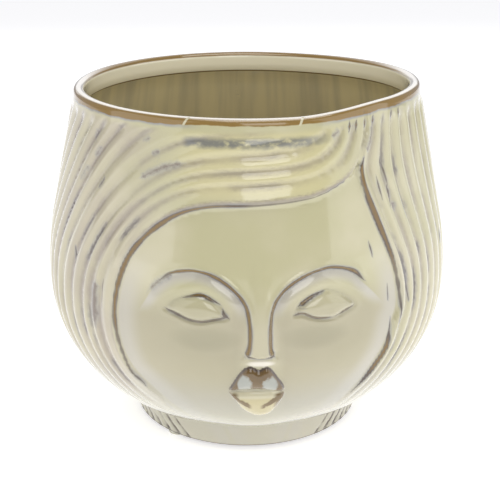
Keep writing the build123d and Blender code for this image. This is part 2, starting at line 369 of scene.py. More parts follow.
@dataclass
class Hair:
    """The hair: a fringe swept from the parting to the left, long strands at the sides, flutes behind."""

    form: HeadForm
    parting: Places = ((33.6, 163.0), (33.0, 156.0), (30.6, 148.8))
    fringe: Stroke = Stroke(
        (
            *parting, (26.0, 141.0), (15.0, 135.6), (0.0, 133.7), (-14.6, 132.5), (-25.6, 125.7),
            (-35.8, 108.6), (-39.9, 83.1), (-37.8, 56.6), (-30.0, 41.0),
        )
    )
    fringe_line: Stroke = Stroke(((24.0, 139.8), *fringe.places[4:-1], (-33.4, 46.4)), 0.95, (0.5, 0.25))
    fall: Stroke = Stroke(
        (
            *parting, (29.6, 140.5), (33.7, 123.1), (39.1, 100.8), (40.6, 83.0), (38.6, 73.5),
            (37.1, 63.0), (34.7, 54.3), (32.2, 46.8), (29.4, 40.2), (26.6, 33.0),
        )
    )
    fall_line: Stroke = Stroke(
        (
            (31.2, 147.2), (30.4, 144.0), (30.3, 140.5), (31.4, 133.5), (34.1, 122.5), (38.9, 101.5),
            (40.9, 81.5), (40.3, 72.2), (40.3, 61.9), (39.7, 58.0),
        ),
        half_width=1.05,
        tapers=(0.05, 0.8),
    )
    lock_line: Stroke = Stroke(
        ((37.7, 76.5), (37.6, 70.1), (37.0, 62.3), *fall.places[-4:-1]), 0.8, (0.35, 0.4)
    )
    strand_line: Stroke = Stroke(((40.4, 109.6), (42.7, 97.0), (44.6, 82.0)), 0.5, (0.3, 0.4))
    fine_lines: tuple[Stroke, ...] = (
        Stroke(((31.0, 113.4), (31.5, 110.2), (31.8, 107.5)), 0.3, (0.3, 0.3)),
        Stroke(((36.4, 93.0), (36.5, 89.0), (36.6, 86.0)), 0.2, (0.3, 0.3)),
        Stroke(((-44.3, 95.0), (-44.5, 89.0), (-44.4, 82.0)), 0.25, (0.2, 0.3)),
        Stroke(((-57.6, 104.0), (-57.3, 98.0), (-57.2, 91.0)), 0.45, (0.3, 0.4)),
        Stroke(((38.0, 145.6), (37.7, 144.0), (37.6, 142.4)), 0.4, (0.4, 0.4)),
        Stroke(((38.6, 142.4), (39.3, 138.6), (40.0, 134.6)), 0.5, (0.3, 0.4)),
        Stroke(((39.6, 134.0), (40.2, 130.4), (39.8, 125.6)), 0.55, (0.3, 0.4)),
        Stroke(((35.4, 138.6), (36.0, 134.4), (37.0, 129.4)), 0.35, (0.4, 0.4)),
        Stroke(((44.4, 134.0), (45.2, 126.0), (46.4, 119.0)), 0.3, (0.4, 0.4)),
        Stroke(((68.6, 103.0), (68.8, 100.0), (68.9, 97.0)), 0.4, (0.4, 0.4)),
    )
    smears: tuple[Stroke, ...] = (
        Stroke(((-46.4, 96.0), (-47.3, 88.0), (-47.4, 77.0), (-46.9, 66.0)), 2.3, (0.15, 0.35)),
        Stroke(((-58.4, 92.0), (-58.4, 83.0), (-60.0, 70.0)), 0.8, (0.3, 0.4)),
        Stroke(((-47.0, 139.0), (-48.8, 135.4), (-50.6, 131.6)), 1.1, (0.2, 0.3)),
        Stroke(((-36.4, 139.4), (-30.1, 145.0), (-25.4, 148.0), (-19.3, 150.0)), 1.3, (0.2, 0.2)),
        Stroke(((-32.7, 151.0), (-30.4, 152.6), (-28.0, 153.8)), 0.8, (0.3, 0.3)),
        Stroke(((-36.3, 156.0), (-33.6, 157.4), (-31.0, 158.6)), 0.5, (0.3, 0.3)),
        Stroke(((-56.1, 151.6), (-54.6, 154.8), (-53.3, 158.0)), 1.2, (0.2, 0.3)),
        Stroke(((-54.8, 143.6), (-52.6, 148.0), (-50.4, 152.2)), 0.9, (0.3, 0.3)),
        Stroke(((-61.5, 130.0), (-58.0, 138.0), (-54.6, 143.8)), 0.6, (0.3, 0.3)),
        Stroke(((32.4, 148.6), (34.4, 153.0), (36.4, 160.6)), 1.3, (0.1, 0.2)),
        Stroke(((20.6, 158.4), (22.6, 159.2), (24.8, 160.8)), 1.2, (0.25, 0.25)),
        Stroke(((40.6, 128.4), (41.6, 124.8), (42.4, 121.0)), 1.3, (0.3, 0.35)),
    )
    rim_marks: tuple[float, ...] = (27.7, 30.1, 33.2, 36.6, 45.2, 49.1)
    mark_levels: tuple[float, float] = (162.6, 158.8)
    mark_lean: float = 0.4
    mark_half_width: float = 0.9
    mark_tapers: tuple[float, float] = (0.35, 0.6)
    left_limit: Places = ((0.0, 60.0), (29.0, 100.0))
    chin_reach: float = 24.0
    fringe_grooves: tuple[float, ...] = (0.0, 7.5, 13.0, 18.6, 28.5, 40.0)
    fall_grooves: tuple[float, ...] = (0.0, 5.5, 13.0, 21.0, 30.0, 40.0)
    side_spread: tuple[float, float] = (0.22, 30.0)
    spread_levels: tuple[float, float] = (142.0, 85.0)
    far_pitch: float = 10.0
    far_reach: float = 240.0
    blend_from: float = 110.0
    blend_to: float = 230.0
    relief: float = 1.6
    relief_reach: float = 0.7
    relief_fade: tuple[float, float] = (30.0, 54.0)
    brim_height: float = 0.5
    brim_reach: float = 1.6
    strand_depth: float = 1.5
    strand_power: float = 1.7
    usual_width: float = 8.0
    hairline_fade: tuple[float, float] = (0.4, 2.5)
    parting_fade: tuple[float, float] = (147.0, 153.0)
    forehead_loss: float = 0.2
    forehead_levels: tuple[float, float] = (118.0, 132.0)
    forehead_azimuths: tuple[float, float] = (46.0, 26.0)
    top_fade: tuple[float, float] = (162.5, 157.0)
    jaw_fade: tuple[float, float] = (24.0, 60.0)
    neck_pitch: float = 6.5
    neck_lean: float = -1.1
    neck_front: float = 32.0
    neck_depth: float = 1.3
    neck_fade: tuple[float, float] = (17.0, 12.5)
    neck_start: tuple[float, float] = (-0.4, 0.2)

    def lines(self) -> tuple[Stroke, ...]:
        """The lines that the glaze draws along the hair.

        Returns:
            The long lines, the fine ones and the marks under the rim.
        """
        top, foot = self.mark_levels
        marks = [
            Stroke(((azimuth, top), (azimuth - self.mark_lean, foot)), self.mark_half_width, self.mark_tapers)
            for azimuth in self.rim_marks
        ]
        return self.fringe_line, self.fall_line, self.lock_line, self.strand_line, *self.fine_lines, *marks

    def grooves(self, hand: Hand) -> Field:
        """Where the grooves between the strands lie on one side of the head.

        Args:
            hand: The side.

        Returns:
            Distances from the hairline in mm.
        """
        near = self.fringe_grooves if hand is Hand.LEFT else self.fall_grooves
        far = np.arange(near[-1] + self.far_pitch, self.far_reach + 1, self.far_pitch)
        return np.concatenate([near, far])

    def is_left(self, azimuth: Field, level: Field) -> Field:
        """Which places belong to the hair that is swept to the left."""
        azimuths, levels = zip(*self.left_limit, *reversed(self.parting))
        return azimuth < np.interp(level, levels, azimuths)

    def face_path(self) -> Field:
        """The closed outline of the face, from the parting round the jaw and back.

        Returns:
            Rows of mm across and up.
        """
        left, right = self.fringe.path(), self.fall.path()
        chin = np.array([HeadForm.unrolled(azimuth, 0.0) for azimuth in (-self.chin_reach, self.chin_reach)])
        top = (len(self.parting) - 1) * self.fringe.steps
        return np.vstack([left[top:], chin, right[top:][::-1]])

    def strands(self, azimuth: Field, level: Field) -> dict[Hand, dict[str, Field]]:
        """The strand that each place lies on, as part of the hair on either side.

        Args:
            azimuth: Degrees from the middle of the face.
            level: Heights in mm.

        Returns:
            For each side, the strand's number with its fraction, its width, the mm passed along it and the mm
            from the hairline.
        """
        across, up = HeadForm.unrolled(azimuth, level)
        half_round = math.pi * HeadForm.unroll_radius
        far = ease(self.blend_from, self.blend_to, np.abs(across))
        made: dict[Hand, dict[str, Field]] = {}
        for hand, line in ((Hand.LEFT, self.fringe), (Hand.RIGHT, self.fall)):
            side, share = line.measure(across, up)
            length = line.length()
            edge = np.abs(line.path()[:, 0]).max()
            straight = (np.abs(across) - edge) / (half_round - edge) * self.far_reach
            gap = line.soft_distance(across, up, np.abs(side))
            if hand is Hand.LEFT:
                spread, limit = self.side_spread
                gap -= spread * np.minimum(gap, limit) * ease(*self.spread_levels, level)
            gap += (straight - gap) * far
            grooves = self.grooves(hand)
            run = share * length if hand is Hand.LEFT else self.form.rim_level - level
            made[hand] = {
                "strand": np.interp(gap, grooves, np.arange(len(grooves))),
                "strand_width": np.interp(gap, (grooves[1:] + grooves[:-1]) / 2, np.diff(grooves)),
                "strand_run": run + (length - level - run) * far,
                "hairline": np.abs(side),
            }
        return made

    def neck_strands(self, azimuth: Field, level: Field) -> Field:
        """Number of the slanting strand on the neck, with its fraction, below zero on the bare front."""
        slanted = np.abs(azimuth) + self.neck_lean * (level - self.form.foot_level)
        return (slanted - self.neck_front) / self.neck_pitch

    def lift(self, azimuth: Field, level: Field) -> tuple[Field, Field]:
        """How far the hair and the set-back face stand off the turned form.

        Args:
            azimuth: Degrees from the middle of the face.
            level: Heights in mm.

        Returns:
            The lift in mm, and the signed mm from the hairline, positive in the hair.
        """
        across, up = HeadForm.unrolled(azimuth, level)
        left = self.is_left(azimuth, level)
        sides = self.strands(azimuth, level)
        strands = {
            name: np.where(left, values, sides[Hand.RIGHT][name]) for name, values in sides[Hand.LEFT].items()
        }
        face = enclosed(self.face_path(), across, up)
        gap = np.where(face, -strands["hairline"], strands["hairline"])
        groove = self.strand_depth * np.sqrt(strands["strand_width"] / self.usual_width)
        groove *= (1.0 - crest(strands["strand"])) ** self.strand_power
        forehead = ease(*self.forehead_levels, level) * ease(*self.forehead_azimuths, np.abs(azimuth))
        groove *= ease(*self.top_fade, level) * ease(*self.jaw_fade, level)
        groove *= 1.0 - self.forehead_loss * forehead
        lift = -groove * np.maximum(ease(*self.hairline_fade, gap), ease(*self.parting_fade, level))
        jaw = ease(*self.relief_fade, level)
        lift -= self.relief * ease(self.relief_reach, -self.relief_reach, gap) * jaw
        lift += self.brim_height * hump(gap, self.brim_reach, self.brim_reach) * jaw * ~face
        number = self.neck_strands(azimuth, level)
        neck = ease(*self.neck_fade, level) * ease(*self.neck_start, number)
        lift -= self.neck_depth * ((1.0 - crest(number)) ** 2) * neck
        return lift, gap


@dataclass
class Face:
    """The face: brows that run into the nose, blank eyes between creased lids, and full lips."""

    left_brow: Stroke = Stroke(
        (
            (-30.8, 91.5), (-28.5, 97.6), (-23.5, 104.3), (-17.5, 106.2), (-11.5, 104.0), (-6.3, 97.8),
            (-3.7, 91.5), (-2.8, 84.0), (-2.8, 74.0), (-3.8, 68.8),
        )
    )
    left_brow_line: Stroke = Stroke(((-26.6, 100.6), *left_brow.places[2:]), 1.0, (0.14, 0.02))
    brow_smear: Stroke = Stroke(
        ((-22.6, 104.3), (-27.0, 99.8), (-29.8, 94.6), (-31.4, 88.0)), 0.9, (0.1, 0.45)
    )
    right_brow: Stroke = Stroke(
        (
            (28.6, 97.8), (25.5, 103.0), (19.5, 106.0), (13.5, 104.8), (8.0, 100.6), (4.6, 95.3), (2.9, 89.0),
            (2.4, 82.0), (2.4, 73.0), (3.4, 68.6),
        ),
        half_width=1.0,
        tapers=(0.1, 0.02),
    )
    left_crease: Stroke = Stroke(
        ((-20.0, 94.3), (-15.4, 96.0), (-12.1, 93.8), (-10.4, 92.4)), 0.85, (0.35, 0.3)
    )
    right_crease: Stroke = Stroke(((9.9, 91.0), (13.1, 94.4), (16.2, 96.3)), 0.85, (0.1, 0.5))
    left_lid: Stroke = Stroke(
        ((-24.8, 88.4), (-21.5, 86.6), (-18.4, 84.8), (-15.0, 84.2), (-11.8, 85.3), (-8.6, 86.6)),
        half_width=0.52,
        tapers=(0.05, 0.1),
    )
    left_corner: Stroke = Stroke(((-9.6, 89.8), (-9.3, 88.0), (-8.2, 86.2)), 0.55, (0.3, 0.3))
    right_lid: Stroke = Stroke(((8.8, 86.8), (10.8, 87.6), (14.3, 84.9), (18.8, 84.0)), 0.62, (0.1, 0.15))
    right_outer_lid: Stroke = Stroke(((19.6, 84.4), (22.3, 86.0), (25.2, 87.6)), 0.6, (0.4, 0.12))
    nose_base: Stroke = Stroke(((-3.6, 68.9), (-0.3, 68.4), (3.2, 68.6)), 0.6, (0.05, 0.05))
    left_eye: Places = (
        (-24.8, 88.4), (-22.4, 92.2), (-19.2, 94.8), (-15.4, 96.0), (-12.1, 93.9), (-9.6, 90.0), (-8.4, 86.6),
        (-11.8, 86.0), (-15.0, 84.4), (-18.4, 84.9), (-21.5, 86.9),
    )
    right_eye: Places = (
        (8.8, 87.0), (10.1, 91.2), (13.1, 94.4), (16.6, 96.5), (19.6, 95.6), (23.2, 91.8), (25.4, 87.9),
        (22.3, 86.0), (19.0, 84.1), (14.3, 84.8), (10.8, 87.2),
    )
    upper_lip: Places = (
        (-8.3, 51.2), (-5.0, 61.2), (-2.7, 63.9), (-0.5, 62.2), (1.8, 63.6), (3.9, 59.3), (6.3, 50.8),
        (-1.0, 52.2),
    )
    lower_lip: Places = (
        (-8.4, 50.2), (-6.6, 45.0), (-4.6, 40.2), (-1.6, 36.8), (1.0, 36.2), (3.4, 37.8), (5.2, 42.0),
        (6.4, 49.6), (-1.0, 50.9),
    )
    socket_depth: float = 2.3
    socket_reach: float = 11.0
    socket_edge: float = 0.9
    socket_azimuths: tuple[float, float] = (32.0, 25.0)
    socket_levels: tuple[float, float] = (62.0, 76.0)
    brow_ridge: float = 0.5
    brow_ridge_place: tuple[float, float] = (-0.9, 1.2)
    eye_half_height: float = 5.5
    eye_bulge: float = 2.3
    eye_power: float = 0.7
    lid_ridge: float = 0.35
    lid_ridge_place: tuple[float, float] = (-2.0, 1.3)
    lid_bulge: float = 1.1
    lid_bulge_place: tuple[float, float] = (-5.0, 3.2)
    lid_levels: tuple[float, float] = (87.0, 94.0)
    eye_hollow: float = 0.8
    eye_hollow_level: float = 75.0
    eye_hollow_reach: tuple[float, float] = (15.0, 6.0)
    crease_depth: float = 0.35
    crease_reach: float = 0.9
    crease_place: float = -0.1
    nose_height: float = 3.6
    nose_top: float = 104.0
    nose_tip: float = 70.5
    nose_past_tip: float = 1.2
    nose_half_width: float = 3.6
    nose_widening: float = 2.4
    nose_power: float = 1.6
    nose_start: float = 0.2
    nose_fade: tuple[float, float] = (116.0, 100.0)
    nose_base_levels: tuple[float, float] = (67.6, 70.2)
    nose_base_bow: float = 0.03
    under_nose: Swelling = Swelling(0.0, 65.8, 7.0, 1.6, 0.9)
    upper_lip_height: float = 2.9
    upper_lip_round: float = 5.0
    lower_lip_height: float = 3.4
    lower_lip_round: float = 6.0
    muzzle: Swelling = Swelling(-1.5, 50.0, 24.0, 18.0, 1.0)
    chin: Swelling = Swelling(-1.0, 26.0, 20.0, 8.0, 0.9)

    def brows(self) -> tuple[Stroke, Stroke]:
        """The two brow lines, as the glaze draws them."""
        return self.left_brow_line, self.right_brow

    def lid_lines(self) -> tuple[Stroke, ...]:
        """The fine lines of the face.

        Returns:
            The lines round the eyes and under the nose.
        """
        return (
            self.left_crease, self.right_crease, self.left_lid, self.left_corner,
            self.right_lid, self.right_outer_lid, self.nose_base,
        )

    def outline_gap(self, places: Places, across: Field, up: Field) -> Field:
        """How far points lie inside the outline of an eye or a lip.

        Args:
            places: The outline's azimuths in degrees and heights in mm.
            across: Places round the unrolled head in mm.
            up: Heights in mm.

        Returns:
            Signed mm from the outline, positive inside it.
        """
        path = Stroke((*places, places[0])).path()
        gap = np.full(across.shape, np.inf)
        for start, end in zip(path, np.roll(path, -1, axis=0)):
            step, right, above = end - start, across - start[0], up - start[1]
            square = max(float(step @ step), 1e-9)
            along = np.clip((right * step[0] + above * step[1]) / square, 0.0, 1.0)
            gap = np.minimum(gap, np.hypot(right - along * step[0], above - along * step[1]))
        return np.where(enclosed(path, across, up), gap, -gap)

    def socket_gap(self, across: Field, up: Field) -> Field:
        """How far points lie under the nearer brow.

        Args:
            across: Places round the unrolled head in mm.
            up: Heights in mm.

        Returns:
            Signed mm from the brow, positive on the side of the eye.
        """
        left, _ = self.left_brow.measure(across, up)
        right, _ = self.right_brow.measure(across, up)
        return np.where(across < 0.0, -left, right)

    def lift(self, azimuth: Field, level: Field) -> Field:
        """How far the features stand off the set-back face, in mm.

        Args:
            azimuth: Degrees from the middle of the face.
            level: Heights in mm.

        Returns:
            The lift at each place.
        """
        across, up = HeadForm.unrolled(azimuth, level)
        gap = self.socket_gap(across, up)
        under = ease(-self.socket_edge, self.socket_edge, gap)
        under *= np.exp(-np.clip(gap, 0.0, None) / self.socket_reach)
        near = ease(*self.socket_azimuths, np.abs(azimuth)) * ease(*self.socket_levels, level)
        lift = (self.brow_ridge * hump(gap, *self.brow_ridge_place) - self.socket_depth * under) * near
        for feature in (self.eyes, self.nose, self.mouth, self.creases):
            lift += feature(across, up)
        return lift

    def eyes(self, across: Field, up: Field) -> Field:
        """The blank domed eyes between ridged lids, over slight hollows.

        Args:
            across: Places round the unrolled head in mm.
            up: Heights in mm.

        Returns:
            The lift in mm.
        """
        wide, high = self.eye_hollow_reach
        lift = np.zeros(across.shape)
        for places in (self.left_eye, self.right_eye):
            gap = self.outline_gap(places, across, up)
            dome = np.clip(gap / self.eye_half_height, 0.0, 1.0)
            lift += self.eye_bulge * (dome * (2.0 - dome)) ** self.eye_power
            lift -= self.crease_depth * hump(gap, self.crease_place, self.crease_reach)
            lift += self.lid_ridge * hump(gap, *self.lid_ridge_place)
            lift += self.lid_bulge * hump(gap, *self.lid_bulge_place) * ease(*self.lid_levels, up)
            centre, _ = HeadForm.unrolled(np.mean([azimuth for azimuth, _ in places]), 0.0)
            flat = np.exp(-(((across - centre) / wide) ** 4))
            lift -= self.eye_hollow * hump(up, self.eye_hollow_level, high) * flat
        return lift

    def nose(self, across: Field, up: Field) -> Field:
        """The straight nose, widening and rising down to its blunt tip.

        Args:
            across: Places round the unrolled head in mm.
            up: Heights in mm.

        Returns:
            The lift in mm.
        """
        down = np.clip((self.nose_top - up) / (self.nose_top - self.nose_tip), 0.0, self.nose_past_tip)
        half = self.nose_half_width + self.nose_widening * down
        ridge = np.exp(-((across / half) ** 2) ** self.nose_power)
        base = ease(*self.nose_base_levels, up - self.nose_base_bow * across**2)
        height = self.nose_height * (self.nose_start + (1.0 - self.nose_start) * down)
        return height * ridge * base * ease(*self.nose_fade, up) + self.under_nose.lift(across, up)

    def mouth(self, across: Field, up: Field) -> Field:
        """The full lips, parted by a shallow line, over a soft chin.

        Args:
            across: Places round the unrolled head in mm.
            up: Heights in mm.

        Returns:
            The lift in mm.
        """
        lift = self.muzzle.lift(across, up) + self.chin.lift(across, up)
        for places, height, reach in (
            (self.upper_lip, self.upper_lip_height, self.upper_lip_round),
            (self.lower_lip, self.lower_lip_height, self.lower_lip_round),
        ):
            full = np.clip(self.outline_gap(places, across, up) / reach, 0.0, 1.0)
            lift += height * np.sqrt(full * (2.0 - full))
        return lift

    def creases(self, across: Field, up: Field) -> Field:
        """Grooves along the fine lines.

        Args:
            across: Places round the unrolled head in mm.
            up: Heights in mm.

        Returns:
            The lift in mm.
        """
        lift = np.zeros(across.shape)
        for line in self.lid_lines():
            side, share = line.measure(across, up)
            lift -= self.crease_depth * hump(side, 0.0, self.crease_reach) * line.fullness(share)
        return lift


@dataclass
class Pot:
    """The cast pot: one turned shell with hair and face carved on its outside."""

    form: HeadForm = field(default_factory=HeadForm)
    columns: int = 448
    front_crowding: float = 0.45
    outside_rows: int = 156
    fine_levels: tuple[float, float] = (30.0, 112.0)
    fine_blends: tuple[float, float] = (12.0, 14.0)
    fine_share: float = 1.5
    fine_steps: int = 4000
    floor_rows: int = 6
    floor_round: tuple[float, float] = (2.0, 0.5)
    floor_rise: float = 0.7
    wall_rows: int = 20
    lip_rows: int = 15
    neck_rows: int = 9
    neck_step: float = 1.0
    neck_slack: float = 0.1
    foot_rows: int = 4
    ring_edge: float = 5.0
    recess_slope: float = 0.5
    recess_edge: float = 8.0
    recess_rows: int = 3
    merge_gap: float = 0.002
    face_edge: tuple[float, float] = (1.5, -2.0)
    rim_wave: float = 2.8
    rim_wave_span: tuple[float, float, float, float] = (10.0, 44.0, 60.0, 165.0)
    rim_wave_levels: tuple[float, float] = (105.0, 165.0)
    rim_lift: float = 0.4
    front_azimuth: float = 60.0
    far_gap: float = 50.0
    far_line: float = 4.0
    no_line: float = -2.0
    no_neck_strand: float = -5.0
    smear_fade: float = 4.0

    def __post_init__(self) -> None:
        """Makes the carvings for this form."""
        self.hair = Hair(self.form)
        self.face = Face()

    def outside_levels(self) -> Field:
        """The rows down the outside, closest together over the face.

        Returns:
            Heights in mm, from the lip down.
        """
        form = self.form
        level = np.linspace(form.lip_level, form.neck_level, self.fine_steps)
        step = np.hypot(np.diff(form.side(level)), np.diff(level))
        middle = (level[1:] + level[:-1]) / 2
        (low, high), (below, above) = self.fine_levels, self.fine_blends
        fine = ease(low - below, low, middle) * ease(high + above, high, middle)
        dense = 1.0 + (self.fine_share - 1.0) * fine
        passed = np.concatenate([[0.0], np.cumsum(step * dense)])
        return np.interp(np.linspace(0.0, passed[-1], self.outside_rows + 1), passed, level)

    def outline(self) -> tuple[Field, Field]:
        """The outline from the middle of the floor, over the lip, to the middle of the foot.

        Returns:
            Rows of radius and height in mm, and each row's mm past the crest of the lip, below zero inside.
        """
        form = self.form
        wall_top = form.lip_level - form.mouth_depth - form.undercut
        wall = np.linspace(form.neck_level, wall_top, self.wall_rows)
        inner = form.side(wall, form.wall)
        inner += (form.mouth_radius + form.undercut - inner[-1]) * ease(form.belly_level, wall_top, wall)
        floor_edge, corner = (inner[0] - reach for reach in self.floor_round)
        mouth = wall_top + form.undercut
        lip, over_lip = form.rim_radius - form.lip_round, np.linspace(math.pi, 0.0, self.lip_rows)
        outer = self.outside_levels()[1:]
        foot, turn = form.foot_level + form.foot_round, np.linspace(0.0, -math.pi / 2, self.foot_rows)
        neck = np.linspace(form.neck_level - self.neck_step, foot, self.neck_rows)
        foot_edge = form.neck_radius - form.foot_round
        recess, recess_level = form.neck_radius - form.foot_ring, form.foot_level + form.foot_recess
        under = np.linspace(recess - self.recess_edge, 0.0, self.recess_rows)
        rows = [
            *[(radius, form.floor_level) for radius in np.linspace(0.0, floor_edge, self.floor_rows)],
            (corner, form.floor_level + self.floor_rise),
            *zip(inner, wall),
            (form.mouth_radius, mouth),
            (form.mouth_radius, mouth + form.mouth_depth / 2),
            *arc(lip, form.lip_level, form.lip_round, over_lip),
            *zip(form.side(outer), outer),
            *[(form.neck_radius, level) for level in neck],
            *arc(foot_edge, foot, form.foot_round, turn[1:]),
            (foot_edge - self.ring_edge, form.foot_level),
            (recess, form.foot_level),
            (recess - self.recess_slope, recess_level),
            *[(radius, recess_level) for radius in under],
        ]
        outline = np.array(rows)
        passed = np.concatenate([[0.0], np.cumsum(np.hypot(*np.diff(outline, axis=0).T))])
        return outline, passed - passed[outline[:, 1].argmax()]

    def build(self) -> bpy.types.Object:
        """The pot's mesh, turned from its outline and then carved.

        Returns:
            The finished piece, at the origin.
        """
        outline, past_lip = self.outline()
        deselect_all()
        bpy.ops.mesh.primitive_grid_add(x_subdivisions=1, y_subdivisions=len(outline) - 1, size=2.0)
        pot = bpy.context.object
        pot.name = pot.data.name = "glazed_pot"
        bpy.ops.object.mode_set(mode="EDIT")
        bpy.ops.mesh.select_all(action="DESELECT")
        bpy.ops.object.mode_set(mode="OBJECT")
        for vertex in pot.data.vertices:
            vertex.select = vertex.co.x > 0.0
        bpy.ops.object.mode_set(mode="EDIT")
        bpy.ops.mesh.delete(type="VERT")
        bpy.ops.object.mode_set(mode="OBJECT")
        order = np.argsort(np.argsort(points_of(pot)[:, 1]))
        chain = np.zeros((len(outline), 3))
        chain[:, 1], chain[:, 2] = -outline[order, 0] * MM, outline[order, 1] * MM
        move_points(pot, chain)
        track = pot.data.attributes.new("past_lip", "FLOAT", "POINT")
        track.data.foreach_set("value", past_lip[order])
        bpy.ops.object.mode_set(mode="EDIT")
        bpy.ops.mesh.select_all(action="SELECT")
        bpy.ops.mesh.spin(
            steps=self.columns,
            angle=2 * math.pi,
            center=(0.0, 0.0, 0.0),
            axis=(0.0, 0.0, 1.0),
            use_auto_merge=True,
        )
        bpy.ops.mesh.select_all(action="SELECT")
        bpy.ops.mesh.remove_doubles(threshold=self.merge_gap * MM)
        bpy.ops.mesh.normals_make_consistent(inside=False)
        bpy.ops.object.mode_set(mode="OBJECT")
        self.carve(pot)
        bpy.ops.object.shade_smooth()
        return pot

    def carve(self, pot: bpy.types.Object) -> None:
        """Moves the points of the turned shell to the carved surface, and notes what each point is part of.

        Args:
            pot: The turned shell.
        """
        places = points_of(pot) / MM
        past_lip = np.empty(len(places))
        pot.data.attributes["past_lip"].data.foreach_get("value", past_lip)
        radius, level = np.hypot(places[:, 0], places[:, 1]), places[:, 2]
        turn = np.arctan2(places[:, 0], -places[:, 1])
        turn = turn - self.front_crowding * np.sin(turn)
        azimuth = np.degrees(turn)
        carved = (past_lip > 0.0) & (level < self.form.lip_level)
        carved &= radius > self.form.neck_radius - self.neck_slack
        lift, gap = np.zeros(len(places)), np.full(len(places), self.far_gap)
        hair_lift, hair_gap = self.hair.lift(azimuth[carved], level[carved])
        face_lift = self.face.lift(azimuth[carved], level[carved]) * ease(*self.face_edge, hair_gap)
        lift[carved], gap[carved] = hair_lift + face_lift, hair_gap
        out, rise = self.form.slope(level)
        radius = radius + lift * out
        height = level + lift * rise * carved
        first, full, last, end = self.rim_wave_span
        wave = self.rim_lift + self.rim_wave * ease(first, full, azimuth) * ease(end, last, azimuth)
        height += wave * ease(*self.rim_wave_levels, level)
        places = np.column_stack([radius * np.sin(turn), -radius * np.cos(turn), height]) * MM
        move_points(pot, places)
        self.note(pot, azimuth, level, gap, carved)

    def note(self, pot: bpy.types.Object, azimuth: Field, level: Field, gap: Field, carved: Field) -> None:
        """Writes what the glaze reads: distances from the drawn lines, and the strands.

        Args:
            pot: The carved shell.
            azimuth: Degrees of each point from the middle of the face.
            level: Height of each point before carving, in mm.
            gap: Signed mm of each point from the hairline.
            carved: True for points of the outside.
        """
        across, up = HeadForm.unrolled(azimuth, level)
        front = carved & (np.abs(azimuth) < self.front_azimuth)
        fields = {"hairline": gap, "azimuth": azimuth, "aside": np.abs(azimuth), "level": level}
        for name in ("socket", "upper_lip", "lower_lip"):
            fields[name] = np.full(len(level), -self.far_gap)
        fields["socket"][front] = self.face.socket_gap(across[front], up[front])
        for name, lip in (("upper_lip", self.face.upper_lip), ("lower_lip", self.face.lower_lip)):
            fields[name][front] = self.face.outline_gap(lip, across[front], up[front])
        lines = (*self.face.brows(), *self.face.lid_lines(), *self.hair.lines())
        smears = (self.face.brow_smear, *self.hair.smears)
        none = {"side": self.far_line, "half": self.no_line, "depth": self.no_line - self.far_line}
        for kind, strokes, loss in (("line", lines, None), ("smear", smears, self.smear_fade)):
            drawn = self.nearest(strokes, across[carved], up[carved], loss)
            for (name, start), values in zip(none.items(), drawn):
                fields[f"{kind}_{name}"] = np.full(len(level), start)
                fields[f"{kind}_{name}"][carved] = values
        fields["neck_strand"] = np.where(carved, self.hair.neck_strands(azimuth, level), self.no_neck_strand)
        for name, values in fields.items():
            pot.data.attributes.new(name, "FLOAT", "POINT").data.foreach_set("value", values)
        self.note_strands(pot, azimuth, level)

    def nearest(
        self, strokes: tuple[Stroke, ...], across: Field, up: Field, loss: float | None
    ) -> tuple[Field, Field, Field]:
        """The drawn line that each point is deepest in, or nearest to.

        Args:
            strokes: The lines to choose from.
            across: Places round the unrolled head in mm.
            up: Heights in mm.
            loss: How many mm half of a line's width falls by towards its ends, or None to end in a point.

        Returns:
            The signed distance from that line, half of its width there, and the depth inside its edge.
        """
        side, half = np.full(across.shape, self.far_line), np.full(across.shape, self.no_line)
        depth = half - side
        for line in strokes:
            offset, width = line.drawn(across, up, loss)
            inside = width - np.abs(offset)
            nearer = inside > depth
            side = np.where(nearer, np.clip(offset, -self.far_line, self.far_line), side)
            half = np.where(nearer, width, half)
            depth = np.maximum(depth, inside)
        return side, half, depth

    def note_strands(self, pot: bpy.types.Object, azimuth: Field, level: Field) -> None:
        """Writes the strand of each corner of a face, so that the two sides of the parting stay apart.

        Args:
            pot: The carved shell.
            azimuth: Degrees of each point from the middle of the face.
            level: Height of each point before carving, in mm.
        """
        corners = np.empty(len(pot.data.loops), int)
        pot.data.loops.foreach_get("vertex_index", corners)
        sizes = np.empty(len(pot.data.polygons), int)
        pot.data.polygons.foreach_get("loop_total", sizes)
        owner = np.repeat(np.arange(len(sizes)), sizes)
        turn = np.radians(azimuth[corners])
        aside, ahead = (np.bincount(owner, part) / sizes for part in (np.sin(turn), np.cos(turn)))
        face_azimuth = np.degrees(np.arctan2(aside, ahead))[owner]
        face_level = (np.bincount(owner, level[corners]) / sizes)[owner]
        left = self.hair.is_left(face_azimuth, face_level)
        sides = self.hair.strands(azimuth, level)
        for name in ("strand", "strand_width", "strand_run"):
            values = np.where(left, sides[Hand.LEFT][name][corners], sides[Hand.RIGHT][name][corners])
            pot.data.attributes.new(name, "FLOAT", "CORNER").data.foreach_set("value", values)

    def dress(self, pot: bpy.types.Object, finish: "ReactiveGlaze") -> None:
        """Gives the pot its glaze and its place in the frame.

        Args:
            pot: The finished piece.
            finish: Its glaze.
        """
        pot.data.materials.clear()
        pot.data.materials.append(finish.material())
        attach(pot, "root")
        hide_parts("pot")


